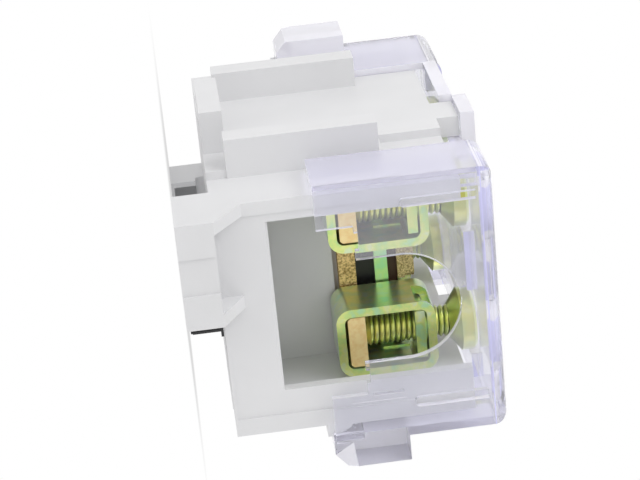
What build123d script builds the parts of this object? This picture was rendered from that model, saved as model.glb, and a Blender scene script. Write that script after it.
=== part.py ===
from build123d import *
import os

# Terminal block on a 35 mm rail: a housing with two wire chambers, four screw
# clamps on a common bus, a clear cover and a sliding rail latch.
# Frame: X across, Y along the wires, Z away from the rail, in millimetres. The
# foot's underside is z = 0. Values are given with the housing's middle at
# x = y = 0, and FRAME_Y then moves the middle of the whole length there.
# The clamps, chambers, side ribs and cover repeat after half a turn about Z.

# Housing shell
HOUSING_W = 44.2
HOUSING_L = 70.2
SIDE_WALL = 2.7
END_WALL = 2.3
SEAT_Z = 6.5                    # face that lies on the rail
CHAMBER_FLOOR_Z = 15.8
CORE_HALF_L = 11.5              # half length of the core between the chambers
CORE_TOP_Z = 27.9
PEDESTAL_HALF_L = 9.6
PEDESTAL_H = 0.9                # the bus lies on this step of the core
RIM_ABOVE_CAGE = 4.6
PANEL_RECESS = 0.3
PANEL_FOOT = 0.5                # the panel starts this far above the seat
PANEL_MARGIN = (2.4, 3.2)       # edge strips beside the recessed end panel
MOUTH_MARGIN = (1.3, 5.2)       # end wall left beside the wire mouth
MOUTH_BEVEL = 0.45
HALF_W = HOUSING_W / 2
HALF_L = HOUSING_L / 2
CHAMBER_HALF_W = HALF_W - SIDE_WALL
PANEL_X = (-HALF_W + PANEL_MARGIN[0], HALF_W - PANEL_MARGIN[1])
MOUTH_X = (-CHAMBER_HALF_W + MOUTH_MARGIN[0], CHAMBER_HALF_W - MOUTH_MARGIN[1])

# Bus stack on the core
BUS_T = 3.2
BUS_HALF_L = 12.3
BUS_SIDE_GAP = 1.8
TONGUE_W = 9.8
TONGUE_BEVEL = 0.5
INSULATOR_T = 3.5
INSULATOR_HALF_L = 10.6
BRACKET_T = 2.4
SPACER_T = 1.8
SPACER_HALF_L = 11.2
LINK_T = 3.1
LINK_W = 22.5
LINK_NOTCH_R = 0.8
LINK_NOTCH_FLOOR = 1.3
STACK_SIDE_GAP = 2.4
BUS_SCREW_PITCH = 9.0
BUS_SCREW_INSET = 6.5
BUS_SCREW_R = 2.0
BUS_SCREW_DEPTH = 14.8          # reach below the bus
BUS_SCREW_HEAD_R = 3.7
BUS_SCREW_HEAD_H = 2.6
BUS_SCREW_SLOT_W = 1.0
BUS_SCREW_SLOT_H = 1.2
BUS_HOLE_FIT = 0.15
CORE_HOLE_FIT = 0.03
BUS_Z = (CORE_TOP_Z + PEDESTAL_H, CORE_TOP_Z + PEDESTAL_H + BUS_T)
INSULATOR_Z = (BUS_Z[1], BUS_Z[1] + INSULATOR_T)
BRACKET_Z = (INSULATOR_Z[1], INSULATOR_Z[1] + BRACKET_T)
SPACER_Z = (BRACKET_Z[1], BRACKET_Z[1] + SPACER_T)
LINK_Z = (SPACER_Z[1], SPACER_Z[1] + LINK_T)
STACK_HALF_W = CHAMBER_HALF_W - STACK_SIDE_GAP
LINK_X = (-STACK_HALF_W, -STACK_HALF_W + LINK_W)
BUS_SCREW_X = (LINK_X[0] + BUS_SCREW_INSET, LINK_X[0] + BUS_SCREW_INSET + BUS_SCREW_PITCH)

# Clamps: near +X clamp; the others are copies
CAGE_W = 13.4
CAGE_L = 10.7
CAGE_H = 18.1
CAGE_SHEET = 1.55
CAGE_R = 2.8
CAGE_SIDE_GAP = 0.4             # to the chamber's side wall
CAGE_BUS_GAP = 0.6
CAGE_UNDER_TONGUE = 0.55
CAGE_SLOT_H = 2.8
CAGE_SLOT_L = 6.7
CAGE_SLOT_INSET = 0.6
EMBOSS_DEPTH = 0.3
EMBOSS_SIZE = 5.0
EMBOSS_ABOVE_FLOOR = 8.8
NUT_T = 1.8
NUT_SIDE_GAP = 0.65
NUT_END_INSET = 0.7
NUT_UNDER_CAGE = 0.35
NUT_COLLAR_R = 3.8
SCREW_R = 3.0
SCREW_FIT = 0.05
SCREW_CAGE_FIT = 0.3
SCREW_TIP_GAP = 0.05
SCREW_POINT_H = 0.85
SCREW_POINT_R = 2.2
SCREW_STANDOFF = 2.7            # shank seen between cage and head
CONE_H = 2.0
HEAD_R = 5.7
HEAD_H = 2.7
HEAD_BEVEL = 0.5
RECESS_W = 1.5
RECESS_L = 6.4
RECESS_DEPTH = 1.9
TONGUE_TIP_GAP = 0.3
CLAMP_X = CHAMBER_HALF_W - CAGE_SIDE_GAP - CAGE_W / 2
CAGE_Y = (-BUS_HALF_L - CAGE_BUS_GAP - CAGE_L, -BUS_HALF_L - CAGE_BUS_GAP)
CLAMP_Y = (CAGE_Y[0] + CAGE_Y[1]) / 2
TONGUE_END_Y = -CAGE_Y[0] - TONGUE_TIP_GAP
CAGE_FLOOR_Z = BUS_Z[0] - CAGE_UNDER_TONGUE - CAGE_SHEET
CAGE_Z = (CAGE_FLOOR_Z, CAGE_FLOOR_Z + CAGE_H)
NUT_Z = (CAGE_Z[1] - CAGE_SHEET - NUT_UNDER_CAGE - NUT_T, CAGE_Z[1] - CAGE_SHEET - NUT_UNDER_CAGE)
NUT_HALF_W = CAGE_W / 2 - CAGE_SHEET - NUT_SIDE_GAP
SCREW_TIP_Z = BUS_Z[1] + SCREW_TIP_GAP
CONE_Z = (CAGE_Z[1] + SCREW_STANDOFF, CAGE_Z[1] + SCREW_STANDOFF + CONE_H)
HEAD_TOP_Z = CONE_Z[1] + HEAD_H
RIM_Z = CAGE_Z[1] + RIM_ABOVE_CAGE

# Side features, given for the -X side
FACE_RISE = 1.5                 # raised middle of the side face
FACE_INSET_Y = (12.9, 15.7)     # from the housing's ends to the raised face
FACE_STEP_Z = 38.0
FACE_STEP_L = 8.2
RIB_W = 4.9
RIB_OVERHANG = 0.3              # near rib beyond the raised face
RIB_Z = (10.2, 37.3)
RIB_RISE = 7.1
KEY_Y = (-13.0, 6.0)            # key block at the rail side
KEY_Z = (6.6, 10.7)
KEY_RISE = 9.3
LUG_Y = (-9.0, -0.6)            # locating lug for the cover
LUG_H = 4.0
LUG_DEPTH = 2.3
RAMP_L = 4.9                    # catch ramp, at the near end of the +X side
RAMP_H = 5.4
RAMP_EDGE_H = 1.0
RAMP_BELOW_COVER = 1.2
RAMP_RISE = 2.3
FACE_Y = (-HALF_L + FACE_INSET_Y[0], HALF_L - FACE_INSET_Y[1])
RIB_Y = ((FACE_Y[0] - RIB_OVERHANG, FACE_Y[0] - RIB_OVERHANG + RIB_W), (FACE_Y[1] - RIB_W, FACE_Y[1]))
LUG_X = (-HALF_W - FACE_RISE, -HALF_W + LUG_DEPTH)
RAMP_Y = (-HALF_L, -HALF_L + RAMP_L)

# Foot and hook that hold the rail
RAIL_W = 35.0
RAIL_SHEET = 1.0
RAIL_FIT = 0.3
FOOT_W = 19.35
FOOT_REACH = 7.0                # beyond the near end wall
FOOT_BAND_X = (6.2, 13.1)       # shallow band, from the foot's -X side
FOOT_BAND_DEPTH = 0.4
FOOT_CORNER_R = 0.8
GUSSET_W = 2.3
GUSSET_H = (5.1, 4.0)           # -X gusset first
HOOK_HALF_W = 7.7
HOOK_LIP = 1.7                  # reach under the rail's edge
HOOK_L = 9.4
HOOK_WALL = 1.0
HOOK_FLOOR = 0.6
HOOK_NOTCH_R = 0.8
HOOK_NOTCH_GAP = 0.7            # under the rail's sheet
FOOT_X = (-HALF_W, -HALF_W + FOOT_W)
RAIL_Y = (-RAIL_W / 2, RAIL_W / 2)
HOOK_Y = (RAIL_Y[1] - HOOK_LIP, RAIL_Y[1] - HOOK_LIP + HOOK_L)
HOOK_NOTCH_Z = SEAT_Z - RAIL_SHEET - HOOK_NOTCH_GAP

# Rail latch
LATCH_W = 16.8
LATCH_L = 6.8
LATCH_BOTTOM_Z = 0.5
LATCH_GAP = 0.3                 # to the rail's edge and to the seat
LATCH_TRAVEL = 3.0
LATCH_END_GAP = 0.4
NOSE_L = 1.5
NOSE_TIP_H = 1.6
NOSE_UNDER_RAIL = 0.4
FLANGE_GAP = 0.25               # to the foot's side
FLANGE_T = 0.45
FLANGE_INSET = 0.1              # behind the foot's end face
FLANGE_END_Y = -18.0
FLANGE_BOTTOM_Z = 0.9
FLANGE_CURL = 1.0
TEE_NECK_W = 6.0
TEE_HEAD_W = 10.0
TEE_HEAD_H = 1.6
TEE_NECK_H = 1.5
TEE_GAP = 0.25
TEE_OPEN_END = 2.5
SPRING_R = 1.6
SPRING_ROOM = 0.35
SPRING_WIRE_R = 0.3
SPRING_COILS = 5
SPRING_POCKET = 4.5
SPRING_INSET = 4.0              # from the latch's -X side, so that the foot backs the coil
LATCH_Y = (RAIL_Y[0] - LATCH_GAP - LATCH_L, RAIL_Y[0] - LATCH_GAP)
LATCH_Z = (LATCH_BOTTOM_Z, SEAT_Z - LATCH_GAP)
FOOT_Y = (-HALF_L - FOOT_REACH, LATCH_Y[0] - LATCH_TRAVEL - LATCH_END_GAP)
NOSE_TOP_Z = SEAT_Z - RAIL_SHEET - NOSE_UNDER_RAIL
FLANGE_X = (FOOT_X[1] + FLANGE_GAP, FOOT_X[1] + FLANGE_GAP + FLANGE_T)
FLANGE_Y = (FOOT_Y[0] + FLANGE_INSET, FLANGE_END_Y)
LATCH_X = (FLANGE_X[0] - LATCH_W / 2, FLANGE_X[0] + LATCH_W / 2)
TEE_X = FLANGE_X[0]
SPRING_X = LATCH_X[0] + SPRING_INSET
TEE_Z = (SEAT_Z + TEE_NECK_H, SEAT_Z + TEE_NECK_H + TEE_HEAD_H)
SPRING_Z = (LATCH_Z[0] + LATCH_Z[1]) / 2

# Clear cover
COVER_WALL = 1.25
COVER_GAP = (1.35, 1.45)        # to the housing's sides and ends
COVER_PLATE = 2.6
COVER_EDGE_R = 2.4
COVER_DROP = 25.6               # overlap with the housing below its rim
COVER_RISE = 5.4                # outer top above the rim
CAP_END_GAP = (2.0, 0.6)        # from the caps' side walls to the ribs
MID_RISE = (1.8, 4.3)           # plate between the caps, above the rim
LUG_GAP = 0.3
LUG_END_GAP = 0.6
BRIDGE_LAP = 0.4                # bridge over the plate's full width
BRIDGE_INSET = 0.3
BRIDGE_H = 2.6
CUT_MARGIN = (1.7, 1.5)         # cut-away of the end panel against the mouth
CUT_H = 6.4
EAR_H = 0.7
EAR_W = (3.3, 2.4)
EAR_INSET = (1.2, 2.3)
ARCH_X = -0.3
ARCH_R = 9.9
ARCH_H = 7.8
SLOT_INSET = (4.3, 5.4)         # from the cover's sides
SLOT_W = (1.5, 1.8)
SLOT_BELOW_TOP = (16.4, 3.2)
GROOVE_X = 15.5
GROOVE_W = 0.5
GROOVE_DEPTH = 0.65
GROOVE_H = (7.2, 12.8)          # above the cover's lower edge
ACCESS_GAP = 1.2                # round the screw heads, room to run
POST_INSET = (0.8, 0.4)         # from the side wall's faces
POST_L = 2.2
POST_END_GAP = 0.5
TAB_RISE = 4.8
TAB_INSET = 1.3                 # from the cut-away
TAB_FRONT = 0.2
TAB_L = 9.9
TAB_H = 13.4
TAB_DROP = 0.3
TAB_BEVEL = (1.6, 3.8)
TAB_CORNER = 2.0
TAB_POCKET_GAP = 0.5
COVER_HALF_W = HALF_W + COVER_GAP[0] + COVER_WALL
COVER_HALF_L = HALF_L + COVER_GAP[1] + COVER_WALL
COVER_Z = (RIM_Z - COVER_DROP, RIM_Z + COVER_RISE)
CAP_END_Y = (RIB_Y[0][0] - CAP_END_GAP[0], FACE_Y[1] + CAP_END_GAP[1])
MID_Z = (RIM_Z + MID_RISE[0], RIM_Z + MID_RISE[1])
MID_EDGE_X = LUG_X[1] + LUG_GAP
MID_STEP_Y = LUG_Y[1] + LUG_END_GAP
BRIDGE_Y = (LUG_Y[0] - LUG_END_GAP, MID_STEP_Y + BRIDGE_LAP)
BRIDGE_Z = (MID_Z[1], MID_Z[1] + BRIDGE_H)
CUT_X = (MOUTH_X[0] + CUT_MARGIN[0], MOUTH_X[1] + CUT_MARGIN[1])
CUT_Z = COVER_Z[0] + CUT_H
POST_X = (CHAMBER_HALF_W + POST_INSET[0], HALF_W - POST_INSET[1])
POST_Y = (HALF_L - POST_END_GAP - POST_L, HALF_L - POST_END_GAP)
RAMP_Z = (COVER_Z[0] - RAMP_BELOW_COVER, COVER_Z[0] - RAMP_BELOW_COVER + RAMP_H)
TAB_X = (CUT_X[1] + TAB_INSET, COVER_HALF_W + TAB_RISE)
TAB_Y = (-COVER_HALF_L - TAB_FRONT, -COVER_HALF_L - TAB_FRONT + TAB_L)
TAB_Z = (COVER_Z[0] - TAB_DROP, COVER_Z[0] - TAB_DROP + TAB_H)

FRAME_Y = (TAB_Y[0] - FOOT_Y[0]) / 2
EPS = 0.5                       # overshoot of cutting tools


def block(x, y, z):
    """Box between (low, high) limits along each axis."""
    size = (x[1] - x[0], y[1] - y[0], z[1] - z[0])
    return Pos((x[0] + x[1]) / 2, (y[0] + y[1]) / 2, (z[0] + z[1]) / 2) * Box(*size)


def rod(x, y, z, radius):
    """Cylinder along Z between z = (low, high)."""
    return Pos(x, y, (z[0] + z[1]) / 2) * Cylinder(radius, z[1] - z[0])


def rectangle(x, z):
    """Sketch rectangle between (low, high) limits."""
    return Pos((x[0] + x[1]) / 2, (z[0] + z[1]) / 2) * Rectangle(x[1] - x[0], z[1] - z[0])


def outline(*points):
    return make_face(Polyline(*points, close=True))


def along_y(sketch, y):
    """Sketch of (x, z) carried from y[0] to y[1]."""
    return Pos(0, y[1], 0) * extrude(Plane.XZ * sketch, y[1] - y[0])


def along_x(sketch, x):
    """Sketch of (y, z) carried from x[0] to x[1]."""
    return Pos(x[0], 0, 0) * extrude(Plane.YZ * sketch, x[1] - x[0])


def half_turn(shape):
    return Rot(0, 0, 180) * shape


def both(shape):
    """A shape with its copy half a turn about Z."""
    return [shape, half_turn(shape)]


def chamber_cut():
    """Near wire chamber, its mouth and the recessed panel."""
    top = RIM_Z + EPS
    inner_end = -HALF_L + END_WALL
    room = block((-CHAMBER_HALF_W, CHAMBER_HALF_W), (inner_end, -CORE_HALF_L), (CHAMBER_FLOOR_Z, top))
    mouth = block(MOUTH_X, (-HALF_L - EPS, inner_end + EPS), (CHAMBER_FLOOR_Z, top))
    face = -HALF_L + PANEL_RECESS
    panel = block(PANEL_X, (-HALF_L - EPS, face), (SEAT_Z + PANEL_FOOT, top))
    sill_low = (face - MOUTH_BEVEL, CHAMBER_FLOOR_Z - 2 * MOUTH_BEVEL)
    sill_high = (face + 2 * MOUTH_BEVEL, CHAMBER_FLOOR_Z + MOUTH_BEVEL)
    sill = along_x(outline(sill_low, sill_high, (sill_low[0], sill_high[1])), MOUTH_X)
    return [room, mouth, panel, sill]


def side_features():
    """Raised face, ribs, key block and lug of the -X side."""
    inside = -HALF_W + EPS
    face_x = (-HALF_W - FACE_RISE, inside)
    parts = [
        block(face_x, FACE_Y, (SEAT_Z, FACE_STEP_Z)),
        block(face_x, (FACE_Y[0] + FACE_STEP_L, FACE_Y[1]), (FACE_STEP_Z - EPS, RIM_Z)),
        block((-HALF_W - KEY_RISE, inside), KEY_Y, KEY_Z),
        block(LUG_X, LUG_Y, (RIM_Z - EPS, RIM_Z + LUG_H)),
    ]
    parts += [block((-HALF_W - RIB_RISE, inside), rib, RIB_Z) for rib in RIB_Y]
    return parts


def catch_ramp():
    low, high = RAMP_Z
    tip = HALF_W + RAMP_RISE
    inside = HALF_W - EPS
    slope = outline((inside, low), (tip, low), (tip, low + RAMP_EDGE_H), (HALF_W, high), (inside, high))
    return along_y(slope, RAMP_Y)


def gusset(x, height):
    wall = -HALF_L
    low, top = SEAT_Z - EPS, SEAT_Z + height
    web = outline((FOOT_Y[0], low), (wall + EPS, low), (wall + EPS, top), (wall, top), (FOOT_Y[0], SEAT_Z))
    return along_x(web, x)


def foot():
    base = block(FOOT_X, FOOT_Y, (0, SEAT_Z))
    corner = base.edges().filter_by(Axis.Y).group_by(Axis.Z)[0].sort_by(Axis.X)[-1]
    base = fillet(corner, FOOT_CORNER_R)
    band_x = (FOOT_X[0] + FOOT_BAND_X[0], FOOT_X[0] + FOOT_BAND_X[1])
    base -= block(band_x, (FOOT_Y[0] - EPS, FOOT_Y[0] + FOOT_BAND_DEPTH), (-EPS, SEAT_Z + EPS))
    base += block(FOOT_X, (-HALF_L, FOOT_Y[1]), (SEAT_Z - EPS, SEAT_Z + EPS))
    left = gusset((FOOT_X[0], FOOT_X[0] + GUSSET_W), GUSSET_H[0])
    right = gusset((FOOT_X[1] - GUSSET_W, FOOT_X[1]), GUSSET_H[1])
    return [base, left, right]


def hook():
    """Far hook: a hollow box with an undercut notch for the rail's edge."""
    half_w = HOOK_HALF_W
    body = block((-half_w, half_w), HOOK_Y, (0, SEAT_Z + EPS))
    notch_y = (HOOK_Y[0] - EPS, RAIL_Y[1] + RAIL_FIT)
    notch = block((-half_w - EPS, half_w + EPS), notch_y, (HOOK_NOTCH_Z, SEAT_Z))
    root = notch.edges().filter_by(Axis.X).group_by(Axis.Y)[-1].sort_by(Axis.Z)[0]
    notch = fillet(root, HOOK_NOTCH_R)
    pocket_x = (-half_w + HOOK_WALL, half_w - HOOK_WALL)
    pocket = block(pocket_x, (HOOK_Y[0] - EPS, HOOK_Y[1] - HOOK_WALL), (HOOK_FLOOR, HOOK_NOTCH_Z))
    return body - notch - pocket


def tee(gap, y):
    """Latch guide: a neck with a wider head; gap widens it into the housing's slot."""
    neck = TEE_NECK_W / 2 + gap
    head = TEE_HEAD_W / 2 + gap
    guide = block((TEE_X - neck, TEE_X + neck), y, (LATCH_Z[1] - EPS, TEE_Z[0] + EPS))
    return guide + block((TEE_X - head, TEE_X + head), y, (TEE_Z[0] - gap, TEE_Z[1] + gap))


def make_housing():
    shell = block((-HALF_W, HALF_W), (-HALF_L, HALF_L), (SEAT_Z, RIM_Z))
    for cut in chamber_cut():
        for tool in both(cut):
            shell -= tool
    core_y = (-CORE_HALF_L - EPS, CORE_HALF_L + EPS)
    shell -= block((-CHAMBER_HALF_W, CHAMBER_HALF_W), core_y, (CORE_TOP_Z, RIM_Z + EPS))
    step_x = (-CHAMBER_HALF_W - EPS, CHAMBER_HALF_W + EPS)
    shell += block(step_x, (-PEDESTAL_HALF_L, PEDESTAL_HALF_L), (CORE_TOP_Z - EPS, BUS_Z[0]))
    for feature in side_features() + [catch_ramp()]:
        for solid in both(feature):
            shell += solid
    for solid in foot() + [hook()]:
        shell += solid
    shell -= tee(TEE_GAP, (FOOT_Y[1] + TEE_GAP, LATCH_Y[1] + TEE_OPEN_END))
    for x in BUS_SCREW_X:
        hole_z = (BUS_Z[0] - BUS_SCREW_DEPTH - EPS, BUS_Z[0] + EPS)
        shell -= rod(x, 0, hole_z, BUS_SCREW_R + CORE_HOLE_FIT)
    return shell


def make_latch():
    body = block(LATCH_X, LATCH_Y, LATCH_Z)
    back, front, tip = LATCH_Y[1] - EPS, LATCH_Y[1], LATCH_Y[1] + NOSE_L
    low, shoulder = LATCH_Z[0], NOSE_TOP_Z - NOSE_TIP_H
    nose = outline((back, low), (front, low), (tip, shoulder), (tip, NOSE_TOP_Z), (back, NOSE_TOP_Z))
    body += along_x(nose, LATCH_X)
    body += tee(0, LATCH_Y)
    body += block(FLANGE_X, FLANGE_Y, (FLANGE_BOTTOM_Z, LATCH_Z[1]))
    body += block((FLANGE_X[0], FLANGE_X[1] + FLANGE_CURL), FLANGE_Y, (LATCH_Z[1] - FLANGE_T, LATCH_Z[1]))
    room = Pos(SPRING_X, 0, SPRING_Z) * (Rot(90, 0, 0) * Cylinder(SPRING_R + SPRING_ROOM, SPRING_POCKET + EPS))
    return body - Pos(0, LATCH_Y[0] + (SPRING_POCKET - EPS) / 2, 0) * room


def make_spring():
    """Coil between the foot's back face and the end of the latch's pocket."""
    start_y = FOOT_Y[1] + SPRING_WIRE_R
    end_y = LATCH_Y[0] + SPRING_POCKET - SPRING_WIRE_R
    length = end_y - start_y
    path = Helix(pitch=length / SPRING_COILS, height=length, radius=SPRING_R - SPRING_WIRE_R)
    coil = sweep(Plane(path @ 0, z_dir=path % 0) * Circle(SPRING_WIRE_R), path=path)
    return Pos(SPRING_X, start_y, SPRING_Z) * (Rot(-90, 0, 0) * coil)


def make_cage():
    """Clamp cage folded from sheet round the wire space."""
    left, right = CLAMP_X - CAGE_W / 2, CLAMP_X + CAGE_W / 2
    bend = Pos(CLAMP_X, (CAGE_Z[0] + CAGE_Z[1]) / 2)
    outer = bend * RectangleRounded(CAGE_W, CAGE_H, CAGE_R)
    inner = bend * RectangleRounded(CAGE_W - 2 * CAGE_SHEET, CAGE_H - 2 * CAGE_SHEET, CAGE_R - CAGE_SHEET)
    cage = along_y(outer - inner, CAGE_Y)
    cage -= rod(CLAMP_X, CLAMP_Y, (CAGE_Z[1] - CAGE_R, CAGE_Z[1] + EPS), SCREW_R + SCREW_CAGE_FIT)
    slot_y = (CAGE_Y[0] + CAGE_SLOT_INSET, CAGE_Y[0] + CAGE_SLOT_INSET + CAGE_SLOT_L)
    slot_top = CAGE_Z[1] - CAGE_SLOT_INSET
    cage -= block((left - EPS, left + CAGE_SHEET + EPS), slot_y, (slot_top - CAGE_SLOT_H, slot_top))
    wall = right - CAGE_SHEET
    emboss_y = (CLAMP_Y - EMBOSS_SIZE / 2, CLAMP_Y + EMBOSS_SIZE / 2)
    emboss_z = (CAGE_Z[0] + EMBOSS_ABOVE_FLOOR, CAGE_Z[0] + EMBOSS_ABOVE_FLOOR + EMBOSS_SIZE)
    return cage - block((wall - EPS, wall + EMBOSS_DEPTH), emboss_y, emboss_z)


def make_nut():
    nut_y = (CAGE_Y[0] + NUT_END_INSET, CAGE_Y[1] - NUT_END_INSET)
    nut = block((CLAMP_X - NUT_HALF_W, CLAMP_X + NUT_HALF_W), nut_y, NUT_Z)
    nut += rod(CLAMP_X, CLAMP_Y, (NUT_Z[1] - EPS, CAGE_Z[1] - CAGE_SHEET), NUT_COLLAR_R)
    return nut - rod(CLAMP_X, CLAMP_Y, (NUT_Z[0] - EPS, CAGE_Z[1]), SCREW_R + SCREW_FIT)


def make_screw():
    """Turned clamp screw with a cross recess."""
    shank_z = SCREW_TIP_Z + SCREW_POINT_H
    shank = [(0, SCREW_TIP_Z), (SCREW_POINT_R, SCREW_TIP_Z), (SCREW_R, shank_z), (SCREW_R, CONE_Z[0])]
    edge_z = HEAD_TOP_Z - HEAD_BEVEL
    head = [(HEAD_R, CONE_Z[1]), (HEAD_R, edge_z), (HEAD_R - HEAD_BEVEL, HEAD_TOP_Z), (0, HEAD_TOP_Z)]
    half = outline(*shank, *head)
    screw = revolve(Plane.XZ * half, Axis.Z)
    cross = Rectangle(RECESS_L, RECESS_W) + Rectangle(RECESS_W, RECESS_L)
    recess = Pos(0, 0, HEAD_TOP_Z - RECESS_DEPTH) * extrude(cross, RECESS_DEPTH + EPS)
    return Pos(CLAMP_X, CLAMP_Y, 0) * (screw - recess)


def make_bus_bar():
    half_w = CHAMBER_HALF_W - BUS_SIDE_GAP
    bar = block((-half_w, half_w), (-BUS_HALF_L, BUS_HALF_L), BUS_Z)
    for x in (-CLAMP_X, CLAMP_X):
        tongue = block((x - TONGUE_W / 2, x + TONGUE_W / 2), (-TONGUE_END_Y, TONGUE_END_Y), BUS_Z)
        lower = tongue.edges().filter_by(Axis.Y).group_by(Axis.Z)[0]
        bar += chamfer(lower, TONGUE_BEVEL)
    return drilled(bar)


def drilled(solid):
    """Clearance holes for the two bus screws."""
    for x in BUS_SCREW_X:
        solid -= rod(x, 0, (BUS_Z[0] - EPS, LINK_Z[1] + EPS), BUS_SCREW_R + BUS_HOLE_FIT)
    return solid


def stack_plate(half_l, z):
    return drilled(block((-STACK_HALF_W, STACK_HALF_W), (-half_l, half_l), z))


def make_link_plate():
    plate = block(LINK_X, (-BUS_HALF_L, BUS_HALF_L), LINK_Z)
    notch = rod(LINK_X[1], -BUS_HALF_L, (LINK_Z[0] + LINK_NOTCH_FLOOR, LINK_Z[1] + EPS), LINK_NOTCH_R)
    return drilled(plate - notch)


def make_bus_screw(x):
    top = LINK_Z[1] + BUS_SCREW_HEAD_H
    solid = rod(x, 0, (BUS_Z[0] - BUS_SCREW_DEPTH, LINK_Z[1] + EPS), BUS_SCREW_R)
    solid += rod(x, 0, (LINK_Z[1], top), BUS_SCREW_HEAD_R)
    slot_x = (x - BUS_SCREW_HEAD_R - EPS, x + BUS_SCREW_HEAD_R + EPS)
    slot_y = (-BUS_SCREW_SLOT_W / 2, BUS_SCREW_SLOT_W / 2)
    return solid - block(slot_x, slot_y, (top - BUS_SCREW_SLOT_H, top + EPS))


def cover_shell():
    """Outer cap with rounded front edges, open towards the rail."""
    outer = block((-COVER_HALF_W, COVER_HALF_W), (-COVER_HALF_L, COVER_HALF_L), COVER_Z)
    front = outer.edges().filter_by(GeomType.LINE).group_by(Axis.Z)[-1]
    outer = fillet(front, COVER_EDGE_R)
    inside_w = COVER_HALF_W - COVER_WALL
    inside_l = COVER_HALF_L - COVER_WALL
    inner_z = (COVER_Z[0] - EPS, COVER_Z[1] - COVER_PLATE)
    return outer - block((-inside_w, inside_w), (-inside_l, inside_l), inner_z)


def cover_middle():
    """Lower plate between the caps, full width beside the lugs' free half, and the bridge."""
    middle_end = CAP_END_Y[1] + EPS
    inner = block((MID_EDGE_X, -MID_EDGE_X), (-middle_end, middle_end), MID_Z)
    strip = block((-COVER_HALF_W, MID_EDGE_X + EPS), (MID_STEP_Y, middle_end), MID_Z)
    bridge_half_w = COVER_HALF_W - BRIDGE_INSET
    return [inner, block((-bridge_half_w, bridge_half_w), BRIDGE_Y, BRIDGE_Z)] + both(strip)


def cover_tab():
    """Grip at the end of the +X side, wrapped round the cover's corner."""
    front, back = TAB_Y
    low, high = TAB_Z
    inner_x = COVER_HALF_W - COVER_WALL
    tab = block(TAB_X, (front, -COVER_HALF_L + EPS), TAB_Z) + block((inner_x, TAB_X[1]), TAB_Y, TAB_Z)
    bevel_y, bevel_z = front + TAB_BEVEL[0], low + TAB_BEVEL[1]
    side = outline((bevel_y, low), (back, low), (back, high), (front, high), (front, bevel_z))
    edge = TAB_X[1] - TAB_CORNER
    start, tip = TAB_X
    end = outline((start, low), (edge, low), (tip, low + TAB_CORNER), (tip, high), (start, high))
    return tab & along_x(side, TAB_X) & along_y(end, TAB_Y)


def cover_posts():
    """Posts of the near cap that stand on the housing's side walls."""
    z = (RIM_Z, COVER_Z[1] - COVER_PLATE + EPS)
    y = (-POST_Y[1], -POST_Y[0])
    return [block(POST_X, y, z), block((-POST_X[1], -POST_X[0]), y, z)]


def end_slot(x):
    """Slot in the end panel with a round lower end."""
    radius = (x[1] - x[0]) / 2
    low = COVER_Z[1] - SLOT_BELOW_TOP[0] + radius
    return rectangle(x, (low, COVER_Z[1] - SLOT_BELOW_TOP[1])) + Pos(x[0] + radius, low) * Circle(radius)


def end_panel_cut():
    """Cut-away, ears, arch and slots of the near end panel, seen along Y."""
    arch_z = CUT_Z + ARCH_H
    left_ear = CUT_X[0] + EAR_INSET[0]
    right_ear = CUT_X[1] - EAR_INSET[1]
    ear_z = (CUT_Z - EPS, CUT_Z + EAR_H)
    cut = rectangle(CUT_X, (COVER_Z[0] - 2 * EPS, CUT_Z))
    cut += rectangle((left_ear, left_ear + EAR_W[0]), ear_z)
    cut += rectangle((right_ear - EAR_W[1], right_ear), ear_z)
    cut += rectangle((ARCH_X - ARCH_R, ARCH_X + ARCH_R), (CUT_Z - EPS, arch_z))
    cut += Pos(ARCH_X, arch_z) * Circle(ARCH_R)
    left_slot = -COVER_HALF_W + SLOT_INSET[0]
    right_slot = COVER_HALF_W - SLOT_INSET[1]
    cut += end_slot((left_slot, left_slot + SLOT_W[0]))
    return cut + end_slot((right_slot - SLOT_W[1], right_slot))


def cover_cuts():
    """Openings of the near half, and the pocket that snaps over the catch ramp."""
    outer_y = -COVER_HALF_L - EPS
    cuts = [along_y(end_panel_cut(), (outer_y, -COVER_HALF_L + COVER_WALL + EPS))]
    groove_z = (COVER_Z[0] + GROOVE_H[0], COVER_Z[0] + GROOVE_H[1])
    cuts.append(block((GROOVE_X, GROOVE_X + GROOVE_W), (outer_y, -COVER_HALF_L + GROOVE_DEPTH), groove_z))
    access_z = (MID_Z[0] - EPS, COVER_Z[1] + EPS)
    cuts += [rod(x, CLAMP_Y, access_z, HEAD_R + ACCESS_GAP) for x in (-CLAMP_X, CLAMP_X)]
    pocket_x = (HALF_W, HALF_W + RAMP_RISE + TAB_POCKET_GAP)
    pocket_y = (RAMP_Y[0] - TAB_POCKET_GAP, RAMP_Y[1] + TAB_POCKET_GAP)
    cuts.append(block(pocket_x, pocket_y, (TAB_Z[0] - EPS, RAMP_Z[1] + 2 * TAB_POCKET_GAP)))
    return cuts


def make_cover():
    cover = cover_shell()
    side_gap = block((-COVER_HALF_W - EPS, MID_EDGE_X), CAP_END_Y, (COVER_Z[0] - EPS, COVER_Z[1] + EPS))
    for tool in both(side_gap):
        cover -= tool
    middle_y = (-CAP_END_Y[1], CAP_END_Y[1])
    cover -= block((-COVER_HALF_W - EPS, COVER_HALF_W + EPS), middle_y, (MID_Z[1], COVER_Z[1] + EPS))
    for solid in cover_middle():
        cover += solid
    for feature in [cover_tab()] + cover_posts():
        for solid in both(feature):
            cover += solid
    for cut in cover_cuts():
        for tool in both(cut):
            cover -= tool
    return cover


def clamp_copies(shape):
    """Near +X, near -X, far -X and far +X copies of a clamp piece."""
    near_left = Pos(-2 * CLAMP_X, 0, 0) * shape
    return [shape, near_left, half_turn(shape), half_turn(near_left)]


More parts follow.
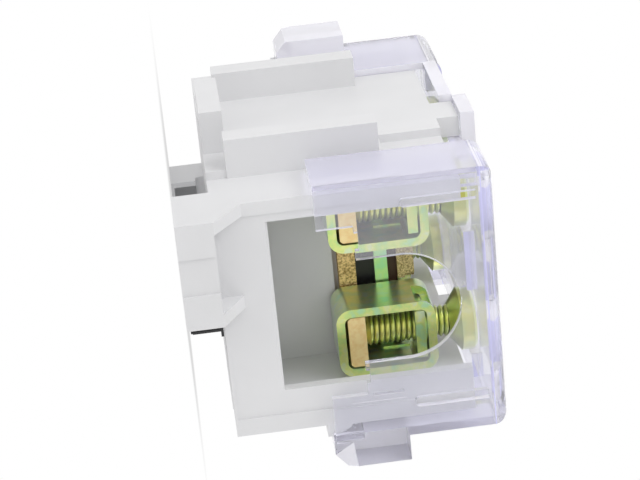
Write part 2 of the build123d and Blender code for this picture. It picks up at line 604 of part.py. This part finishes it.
def main():
    nodes = {
        "housing": make_housing(),
        "rail_latch": make_latch(),
        "latch_spring": make_spring(),
        "bus_bar": make_bus_bar(),
        "insulator": stack_plate(INSULATOR_HALF_L, INSULATOR_Z),
        "bus_bracket": stack_plate(BUS_HALF_L, BRACKET_Z),
        "spacer": stack_plate(SPACER_HALF_L, SPACER_Z),
        "link_plate": make_link_plate(),
        "bus_screw_1": make_bus_screw(BUS_SCREW_X[0]),
        "bus_screw_2": make_bus_screw(BUS_SCREW_X[1]),
        "cover": make_cover(),
    }
    clamp = {"clamp_cage": make_cage(), "nut_plate": make_nut(), "clamp_screw": make_screw()}
    for name, shape in clamp.items():
        for number, copy in enumerate(clamp_copies(shape), start=1):
            nodes[f"{name}_{number}"] = copy
    os.makedirs("parts", exist_ok=True)
    for name, shape in nodes.items():
        export_step(Pos(0, FRAME_Y, 0) * shape, f"parts/{name}.step")


main()
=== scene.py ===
import math

import bmesh
import bpy
from mathutils import Matrix, Vector
from mathutils.bvhtree import BVHTree


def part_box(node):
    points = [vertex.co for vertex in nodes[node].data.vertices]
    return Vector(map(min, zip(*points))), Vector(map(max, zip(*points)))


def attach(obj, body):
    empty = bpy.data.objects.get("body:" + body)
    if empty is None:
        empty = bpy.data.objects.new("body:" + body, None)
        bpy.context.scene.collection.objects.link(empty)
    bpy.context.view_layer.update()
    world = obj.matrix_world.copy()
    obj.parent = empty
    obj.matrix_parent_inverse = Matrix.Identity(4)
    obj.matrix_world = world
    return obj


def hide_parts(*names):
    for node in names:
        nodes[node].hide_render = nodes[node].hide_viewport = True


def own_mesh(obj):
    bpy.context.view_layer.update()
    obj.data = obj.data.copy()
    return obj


MM = 0.001

# Camera, from the photograph's perspective
CAMERA_POS = (-160.9, -380.65, 2.8)
CAMERA_RIGHT = (0.0910, -0.1005, 0.9908)
CAMERA_FORWARD = (0.3893, 0.9192, 0.0575)
CAMERA_LENS = 123.75

# Light
WORLD_LIGHT = 0.66
FLOOR_GLOW = 0.4
KEY_POWER = 2.2
FILL_POWER = 1.0

LIGHT_TARGET = (0, 0, 0.028)

# Floor, with a soft shadow round the foot of the object
FLOOR_HALF_SIZE = 3.0
SHADOW_REACH = 0.02
SHADOW_DEPTH = 0.35

# Cover: a face with more plastic than this behind it is a rim
LEVEL_RIM_DEPTH_MM = 5.5
RIM_DEPTH_MM = 3.2

# Cover: the roof's end faces lie above this height and this far from the middle
ROOF_Z = 51.5
ROOF_END_Y = 10.0

# Bus bar: its tongues start this far from the middle
TONGUE_X = 6.5

# Clamp screw thread
THREAD_Z = (32.9, 47.5)
THREAD_PITCH = 1.0
THREAD_R = 3.0
THREAD_DEPTH = 0.55

# A face looks along an axis when its normal has at least this share of it
LOOKS_ALONG = 0.8

# Eased edges, in millimetres, of the mouldings that have them
EDGE_MM = {"housing": 0.22, "cover": 0.25}
EDGE_SEGMENTS = 2
EDGE_ANGLE_DEG = 40

# Plastics
CLEAR_IOR = 1.49
MOULD_GRAIN = 5000
MOULD_GRAIN_STRENGTH = 0.15

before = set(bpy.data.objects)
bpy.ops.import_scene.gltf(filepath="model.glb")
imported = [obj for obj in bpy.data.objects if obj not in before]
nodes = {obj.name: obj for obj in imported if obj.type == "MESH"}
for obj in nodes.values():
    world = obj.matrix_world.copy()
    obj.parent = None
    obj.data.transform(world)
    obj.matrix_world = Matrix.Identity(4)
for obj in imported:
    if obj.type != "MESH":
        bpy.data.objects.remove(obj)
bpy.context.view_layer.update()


# Materials

def new_material(name):
    material = bpy.data.materials.new(name)
    material.use_nodes = True
    tree = material.node_tree
    shader = tree.nodes["Principled BSDF"]
    return material, tree, shader


def white_ray(tree):
    """1 for camera, glossy and transmission rays, which see the plain background."""
    path = tree.nodes.new("ShaderNodeLightPath")
    either = tree.nodes.new("ShaderNodeMath")
    either.operation = "MAXIMUM"
    tree.links.new(path.outputs["Is Camera Ray"], either.inputs[0])
    tree.links.new(path.outputs["Is Glossy Ray"], either.inputs[1])
    any_of = tree.nodes.new("ShaderNodeMath")
    any_of.operation = "MAXIMUM"
    tree.links.new(either.outputs[0], any_of.inputs[0])
    tree.links.new(path.outputs["Is Transmission Ray"], any_of.inputs[1])
    return any_of.outputs[0]


def object_noise(tree, scale, detail=3.0):
    """Noise in object coordinates; scale is in cells per metre."""
    coord = tree.nodes.new("ShaderNodeTexCoord")
    noise = tree.nodes.new("ShaderNodeTexNoise")
    noise.inputs["Scale"].default_value = scale
    noise.inputs["Detail"].default_value = detail
    tree.links.new(coord.outputs["Object"], noise.inputs["Vector"])
    return noise.outputs["Fac"]


def colour_ramp(tree, factor, stops):
    """Colours blended along factor; stops are (position, colour)."""
    ramp = tree.nodes.new("ShaderNodeValToRGB")
    elements = ramp.color_ramp.elements
    while len(elements) < len(stops):
        elements.new(0.5)
    for element, (position, colour) in zip(elements, stops):
        element.position = position
        element.color = (*colour, 1.0)
    tree.links.new(factor, ramp.inputs["Fac"])
    return ramp.outputs["Color"]


def add_bump(tree, shader, height, strength, distance_mm):
    bump = tree.nodes.new("ShaderNodeBump")
    bump.inputs["Strength"].default_value = strength
    bump.inputs["Distance"].default_value = distance_mm * MM
    tree.links.new(height, bump.inputs["Height"])
    tree.links.new(bump.outputs["Normal"], shader.inputs["Normal"])


def moulded_plastic(name, dark, light, roughness):
    material, tree, shader = new_material(name)
    tint = object_noise(tree, 60)
    colour = colour_ramp(tree, tint, [(0.3, dark), (0.7, light)])
    tree.links.new(colour, shader.inputs["Base Color"])
    shader.inputs["Roughness"].default_value = roughness
    add_bump(tree, shader, object_noise(tree, MOULD_GRAIN), MOULD_GRAIN_STRENGTH, 0.05)
    return material


def clear_plastic(name, colour, clearness):
    """Clear moulding: light passes to what is under it, with a milky haze."""
    material, tree, shader = new_material(name)
    shader.inputs["Base Color"].default_value = (*colour, 1)
    shader.inputs["Roughness"].default_value = 0.03
    shader.inputs["IOR"].default_value = CLEAR_IOR
    shader.inputs["Transmission Weight"].default_value = clearness
    output = tree.nodes["Material Output"]
    path = tree.nodes.new("ShaderNodeLightPath")
    through = tree.nodes.new("ShaderNodeBsdfTransparent")
    through.inputs["Color"].default_value = (0.93, 0.93, 0.97, 1)
    mix = tree.nodes.new("ShaderNodeMixShader")
    tree.links.new(path.outputs["Is Shadow Ray"], mix.inputs["Fac"])
    tree.links.new(shader.outputs["BSDF"], mix.inputs[1])
    tree.links.new(through.outputs["BSDF"], mix.inputs[2])
    tree.links.new(mix.outputs["Shader"], output.inputs["Surface"])
    return material


def painted_rim_light(name, colour):
    """Rims of the clear moulding, pale and nearly opaque: a painted highlight for the light they
    gather, which looks lilac.
    """
    material, tree, shader = new_material(name)
    shader.inputs["Base Color"].default_value = (*colour, 1)
    shader.inputs["Roughness"].default_value = 0.14
    shader.inputs["IOR"].default_value = CLEAR_IOR
    shader.inputs["Transmission Weight"].default_value = 0.2
    return material


def plated_steel(name, tint=(1, 1, 1), share=0.0):
    """Zinc with an iridescent yellow-green passivation; share of it takes the tint."""
    material, tree, shader = new_material(name)
    patches = object_noise(tree, 420, detail=3.0)
    stops = [
        (0.34, (0.46, 0.74, 0.40)), (0.44, (0.56, 0.76, 0.24)),
        (0.56, (0.74, 0.80, 0.26)), (0.66, (0.66, 0.78, 0.48)),
    ]
    face = colour_ramp(tree, patches, stops)
    tinted = tree.nodes.new("ShaderNodeMix")
    tinted.data_type = "RGBA"
    tinted.inputs["Factor"].default_value = share
    tinted.inputs["B"].default_value = (*tint, 1)
    tree.links.new(face, tinted.inputs["A"])
    layer = tree.nodes.new("ShaderNodeLayerWeight")
    layer.inputs["Blend"].default_value = 0.25
    mix = tree.nodes.new("ShaderNodeMix")
    mix.data_type = "RGBA"
    mix.inputs["B"].default_value = (0.72, 0.82, 0.78, 1)
    tree.links.new(layer.outputs["Facing"], mix.inputs["Factor"])
    tree.links.new(tinted.outputs["Result"], mix.inputs["A"])
    tree.links.new(mix.outputs["Result"], shader.inputs["Base Color"])
    shader.inputs["Metallic"].default_value = 0.85
    shader.inputs["Roughness"].default_value = 0.28
    add_bump(tree, shader, object_noise(tree, 1500), 0.2, 0.05)
    return material


def brass(name, grain, dark, light, strength):
    material, tree, shader = new_material(name)
    spots = object_noise(tree, grain, detail=6.0)
    colour = colour_ramp(tree, spots, [(0.35, dark), (0.6, light)])
    tree.links.new(colour, shader.inputs["Base Color"])
    shader.inputs["Metallic"].default_value = 0.55
    shader.inputs["Roughness"].default_value = 0.45
    add_bump(tree, shader, spots, strength, 0.15)
    return material


GREY = moulded_plastic("grey_plastic", (0.75, 0.75, 0.76), (0.79, 0.79, 0.80), 0.42)
# Black plastic for the rail latch; on the insulator the black is painted shade, the deep shade
# between the brass bar and the steel bracket
BLACK_AND_SHADE = moulded_plastic("black_plastic", (0.010, 0.010, 0.012), (0.016, 0.016, 0.018), 0.4)
# Painted shade and reflection: the brown spacer stands in for the dark gap between the steel
# bracket and the link plate
GAP_SHADE_BROWN = moulded_plastic("brown_plastic", (0.05, 0.02, 0.01), (0.08, 0.035, 0.02), 0.5)
CLEAR = clear_plastic("clear_plastic", (0.89, 0.89, 0.94), 0.9)
HAZY = clear_plastic("hazy_plastic", (0.85, 0.84, 0.93), 0.62)
# Painted highlight on the cover's thick rims, a deeper lilac on the roof's end faces
PAINTED_RIM_LIGHT = painted_rim_light("painted_rim_light", (0.95, 0.94, 1.0))
PAINTED_ROOF_RIM_LIGHT = painted_rim_light("painted_roof_rim_light", (0.70, 0.69, 1.0))
ZINC = plated_steel("zinc_steel")
SCREW_ZINC = plated_steel("screw_zinc", (0.66, 0.60, 0.10), 0.6)
BRACKET_ZINC = plated_steel("bracket_zinc", (0.40, 0.95, 0.55), 0.45)
BRASS = brass("brass", 900, (0.93, 0.68, 0.30), (1.0, 0.80, 0.40), 0.12)
SAWN_BRASS = brass("sawn_brass", 2600, (0.36, 0.22, 0.07), (0.95, 0.70, 0.32), 0.6)
GRAINY_BRASS = brass("grainy_brass", 3200, (0.28, 0.20, 0.08), (0.78, 0.62, 0.32), 0.5)
SPRING = plated_steel("spring_steel")

FINISH = {
    "housing": GREY, "rail_latch": BLACK_AND_SHADE, "latch_spring": SPRING, "bus_bar": BRASS,
    "insulator": BLACK_AND_SHADE, "bus_bracket": BRACKET_ZINC, "spacer": GAP_SHADE_BROWN, "link_plate": GRAINY_BRASS,
    "bus_screw_1": ZINC, "bus_screw_2": ZINC, "cover": CLEAR,
}


def finish_of(node):
    return FINISH.get(node, ZINC)


# CAD nodes keep their shape and get a finish and eased edges

def ease_edges(obj, width_mm):
    weld = obj.modifiers.new("weld", "WELD")
    weld.merge_threshold = 0.002 * MM
    bevel = obj.modifiers.new("ease", "BEVEL")
    bevel.width = width_mm * MM
    bevel.segments = EDGE_SEGMENTS
    bevel.limit_method = "ANGLE"
    bevel.angle_limit = math.radians(EDGE_ANGLE_DEG)
    bevel.use_clamp_overlap = True


def depth_behind(tree, point, normal):
    """Length of solid that lies behind a point of a face."""
    step = 0.01 * MM
    distance = tree.ray_cast(point - normal * step, -normal)[3]
    return 0.0 if distance is None else distance + step


def paint_cover(cover):
    """Painted rim light where more plastic lies behind a face than a wall has, and a haze on the
    side walls.
    """
    for material in (PAINTED_RIM_LIGHT, PAINTED_ROOF_RIM_LIGHT, HAZY):
        cover.data.materials.append(material)
    corners = [vertex.co for vertex in cover.data.vertices]
    polygons = cover.data.polygons
    tree = BVHTree.FromPolygons(corners, [tuple(polygon.vertices) for polygon in polygons])
    for polygon in polygons:
        middle = polygon.center
        points = [middle] + [middle.lerp(corners[index], 0.8) for index in polygon.vertices]
        level = abs(polygon.normal.z) > LOOKS_ALONG
        limit = (LEVEL_RIM_DEPTH_MM if level else RIM_DEPTH_MM) * MM
        if all(depth_behind(tree, point, polygon.normal) > limit for point in points):
            outer = middle.z > ROOF_Z * MM and abs(middle.y) > ROOF_END_Y * MM
            roof_end = outer and abs(polygon.normal.y) > LOOKS_ALONG
            polygon.material_index = 2 if roof_end else 1
        elif abs(polygon.normal.x) > LOOKS_ALONG:
            polygon.material_index = 3


def paint_bus_bar(bar):
    """The bar is rough between the clamps, and its tongues are smoother."""
    bar.data.materials.append(SAWN_BRASS)
    for polygon in bar.data.polygons:
        if abs(polygon.center.x) < TONGUE_X * MM:
            polygon.material_index = 1


for name, node in nodes.items():
    node.data.materials.clear()
    node.data.materials.append(finish_of(name))
paint_cover(nodes["cover"])
paint_bus_bar(nodes["bus_bar"])


# Clamp screws: the CAD head with a real thread in place of the plain shank

def group_input(tree, kind, name, value):
    socket = tree.interface.new_socket(name, in_out="INPUT", socket_type=kind)
    socket.default_value = value
    return socket


def thread_nodes():
    """Geometry Nodes group that winds a V-shaped ridge and its core."""
    tree = bpy.data.node_groups.new("screw_thread", "GeometryNodeTree")
    group_input(tree, "NodeSocketFloat", "Root radius", 0.0025)
    group_input(tree, "NodeSocketFloat", "Depth", 0.0005)
    group_input(tree, "NodeSocketFloat", "Length", 0.0146)
    group_input(tree, "NodeSocketFloat", "Turns", 14.6)
    group_input(tree, "NodeSocketMaterial", "Material", None)
    tree.interface.new_socket("Geometry", in_out="OUTPUT", socket_type="NodeSocketGeometry")
    new = tree.nodes.new
    link = tree.links.new
    inputs = new("NodeGroupInput").outputs
    spiral = new("GeometryNodeCurveSpiral")
    spiral.inputs["Resolution"].default_value = 28
    link(inputs["Turns"], spiral.inputs["Rotations"])
    link(inputs["Root radius"], spiral.inputs["Start Radius"])
    link(inputs["Root radius"], spiral.inputs["End Radius"])
    link(inputs["Length"], spiral.inputs["Height"])
    upright = new("GeometryNodeSetCurveNormal")
    upright.mode = "Z_UP"
    link(spiral.outputs["Curve"], upright.inputs["Curve"])
    ridge = new("GeometryNodeCurvePrimitiveCircle")
    ridge.inputs["Resolution"].default_value = 4
    link(inputs["Depth"], ridge.inputs["Radius"])
    sweep = new("GeometryNodeCurveToMesh")
    sweep.inputs["Fill Caps"].default_value = True
    link(upright.outputs["Curve"], sweep.inputs["Curve"])
    link(ridge.outputs["Curve"], sweep.inputs["Profile Curve"])
    core = new("GeometryNodeMeshCylinder")
    core.inputs["Vertices"].default_value = 48
    link(inputs["Root radius"], core.inputs["Radius"])
    link(inputs["Length"], core.inputs["Depth"])
    lift = new("GeometryNodeTransform")
    half = new("ShaderNodeMath")
    half.operation = "MULTIPLY"
    half.inputs[1].default_value = 0.5
    link(inputs["Length"], half.inputs[0])
    offset = new("ShaderNodeCombineXYZ")
    link(half.outputs[0], offset.inputs["Z"])
    link(core.outputs["Mesh"], lift.inputs["Geometry"])
    link(offset.outputs[0], lift.inputs["Translation"])
    join = new("GeometryNodeJoinGeometry")
    link(sweep.outputs["Mesh"], join.inputs[0])
    link(lift.outputs["Geometry"], join.inputs[0])
    realize = new("GeometryNodeRealizeInstances")
    link(join.outputs[0], realize.inputs["Geometry"])
    paint = new("GeometryNodeSetMaterial")
    link(realize.outputs["Geometry"], paint.inputs["Geometry"])
    link(inputs["Material"], paint.inputs["Material"])
    output = new("NodeGroupOutput")
    link(paint.outputs["Geometry"], output.inputs["Geometry"])
    return tree


def thread_mesh():
    """One thread as a plain mesh, standing on the origin along Z."""
    tree = thread_nodes()
    carrier = bpy.data.objects.new("thread_carrier", bpy.data.meshes.new("thread_carrier"))
    bpy.context.collection.objects.link(carrier)
    modifier = carrier.modifiers.new("thread", "NODES")
    modifier.node_group = tree
    length = THREAD_Z[1] - THREAD_Z[0]
    values = {
        "Root radius": (THREAD_R - THREAD_DEPTH) * MM, "Depth": THREAD_DEPTH * MM,
        "Length": length * MM, "Turns": length / THREAD_PITCH, "Material": SCREW_ZINC,
    }
    for item in tree.interface.items_tree:
        if item.in_out == "INPUT":
            modifier[item.identifier] = values[item.name]
    carrier.update_tag()
    depsgraph = bpy.context.evaluated_depsgraph_get()
    mesh = bpy.data.meshes.new_from_object(carrier.evaluated_get(depsgraph))
    bpy.data.objects.remove(carrier)
    return mesh


def drop_shank(bm, x, y):
    """Deletes the plain shank between the point and the cone."""
    low, high = THREAD_Z[0] * MM, THREAD_Z[1] * MM
    shank = []
    for face in bm.faces:
        centre = face.calc_center_median()
        radius = math.hypot(centre.x - x, centre.y - y)
        inside = low - 0.02 * MM < centre.z < high + 0.02 * MM
        if inside and radius > 0.9 * THREAD_R * MM and abs(face.normal.z) < 0.1:
            shank.append(face)
    bmesh.ops.delete(bm, geom=shank, context="FACES")


def make_screw(name, thread):
    low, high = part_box(name)
    x, y = (low[0] + high[0]) / 2, (low[1] + high[1]) / 2
    bm = bmesh.new()
    bm.from_mesh(nodes[name].data)
    bm.normal_update()
    drop_shank(bm, x, y)
    placed = thread.copy()
    placed.transform(Matrix.Translation((x, y, THREAD_Z[0] * MM)))
    bm.from_mesh(placed)
    mesh = bpy.data.meshes.new("screw_detail")
    bm.to_mesh(mesh)
    bm.free()
    mesh.materials.append(SCREW_ZINC)
    for polygon in mesh.polygons:
        polygon.material_index = 0
    screw = bpy.data.objects.new(name.replace("clamp_screw", "threaded_screw"), mesh)
    bpy.context.collection.objects.link(screw)
    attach(screw, name.replace("clamp_screw", "screw"))
    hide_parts(name)


thread = thread_mesh()
for number in range(1, 5):
    make_screw(f"clamp_screw_{number}", thread)


# Latch spring: the CAD coil as a piece of its own

def make_coil():
    """The latch's spring as a piece of its own, fixed to the base."""
    bm = bmesh.new()
    bm.from_mesh(nodes["latch_spring"].data)
    bmesh.ops.remove_doubles(bm, verts=bm.verts, dist=0.001 * MM)
    mesh = bpy.data.meshes.new("coil")
    bm.to_mesh(mesh)
    bm.free()
    mesh.materials.append(SPRING)
    coil = bpy.data.objects.new("coil", mesh)
    bpy.context.collection.objects.link(coil)
    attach(coil, "base")
    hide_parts("latch_spring")
    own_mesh(coil)


make_coil()
for name, width in EDGE_MM.items():
    ease_edges(nodes[name], width)


# Stage, light and camera

def add_area(name, position, size, power):
    light = bpy.data.lights.new(name, "AREA")
    light.shape = "RECTANGLE"
    light.size, light.size_y = size
    light.energy = power
    obj = bpy.data.objects.new(name, light)
    obj.location = position
    direction = Vector(LIGHT_TARGET) - Vector(position)
    obj.rotation_euler = direction.to_track_quat("-Z", "Y").to_euler()
    bpy.context.collection.objects.link(obj)


def add_floor():
    size = FLOOR_HALF_SIZE
    mesh = bpy.data.meshes.new("floor")
    corners = [(-size, -size, 0), (size, -size, 0), (size, size, 0), (-size, size, 0)]
    mesh.from_pydata(corners, [], [(0, 1, 2, 3)])
    floor = bpy.data.objects.new("floor", mesh)
    bpy.context.collection.objects.link(floor)
    material, tree, shader = new_material("floor_white")
    shader.inputs["Base Color"].default_value = (0.5, 0.5, 0.5, 1)
    shader.inputs["Roughness"].default_value = 0.9
    shader.inputs["Emission Color"].default_value = (1, 1, 1, 1)
    shader.inputs["Emission Strength"].default_value = FLOOR_GLOW
    shade = tree.nodes.new("ShaderNodeAmbientOcclusion")
    shade.samples = 16
    shade.inputs["Distance"].default_value = SHADOW_REACH
    glow = tree.nodes.new("ShaderNodeEmission")
    glow.inputs["Color"].default_value = (1, 1, 1, 1)
    soften = tree.nodes.new("ShaderNodeMapRange")
    soften.inputs["To Min"].default_value = 1 - SHADOW_DEPTH
    tree.links.new(shade.outputs["AO"], soften.inputs["Value"])
    tree.links.new(soften.outputs["Result"], glow.inputs["Strength"])
    mix = tree.nodes.new("ShaderNodeMixShader")
    tree.links.new(white_ray(tree), mix.inputs["Fac"])
    tree.links.new(shader.outputs["BSDF"], mix.inputs[1])
    tree.links.new(glow.outputs["Emission"], mix.inputs[2])
    tree.links.new(mix.outputs["Shader"], tree.nodes["Material Output"].inputs["Surface"])
    mesh.materials.append(material)


def set_world():
    world = bpy.data.worlds.new("studio")
    world.use_nodes = True
    tree = world.node_tree
    background = tree.nodes["Background"]
    background.inputs["Color"].default_value = (1, 1, 1, 1)
    background.inputs["Strength"].default_value = WORLD_LIGHT
    bright = tree.nodes.new("ShaderNodeBackground")
    bright.inputs["Color"].default_value = (1, 1, 1, 1)
    bright.inputs["Strength"].default_value = 1.0
    mix = tree.nodes.new("ShaderNodeMixShader")
    tree.links.new(white_ray(tree), mix.inputs["Fac"])
    tree.links.new(background.outputs["Background"], mix.inputs[1])
    tree.links.new(bright.outputs["Background"], mix.inputs[2])
    tree.links.new(mix.outputs["Shader"], tree.nodes["World Output"].inputs["Surface"])
    bpy.context.scene.world = world


def set_camera():
    camera = bpy.data.cameras.new("camera")
    camera.lens = CAMERA_LENS
    camera.sensor_width = 36.0
    camera.clip_start = 0.01
    camera.clip_end = 20.0
    obj = bpy.data.objects.new("camera", camera)
    forward = Vector(CAMERA_FORWARD).normalized()
    right = Vector(CAMERA_RIGHT)
    right = (right - forward * right.dot(forward)).normalized()
    up = right.cross(forward)
    rotation = Matrix((right, up, -forward)).transposed().to_4x4()
    obj.matrix_world = Matrix.Translation(Vector(CAMERA_POS) * MM) @ rotation
    bpy.context.collection.objects.link(obj)
    bpy.context.scene.camera = obj


add_floor()
set_world()
set_camera()
add_area("key", (-0.55, -0.26, 0.5), (0.5, 0.5), KEY_POWER)
add_area("fill", (0.62, -0.28, 0.14), (0.6, 0.6), FILL_POWER)
bpy.context.scene.view_settings.view_transform = "Standard"
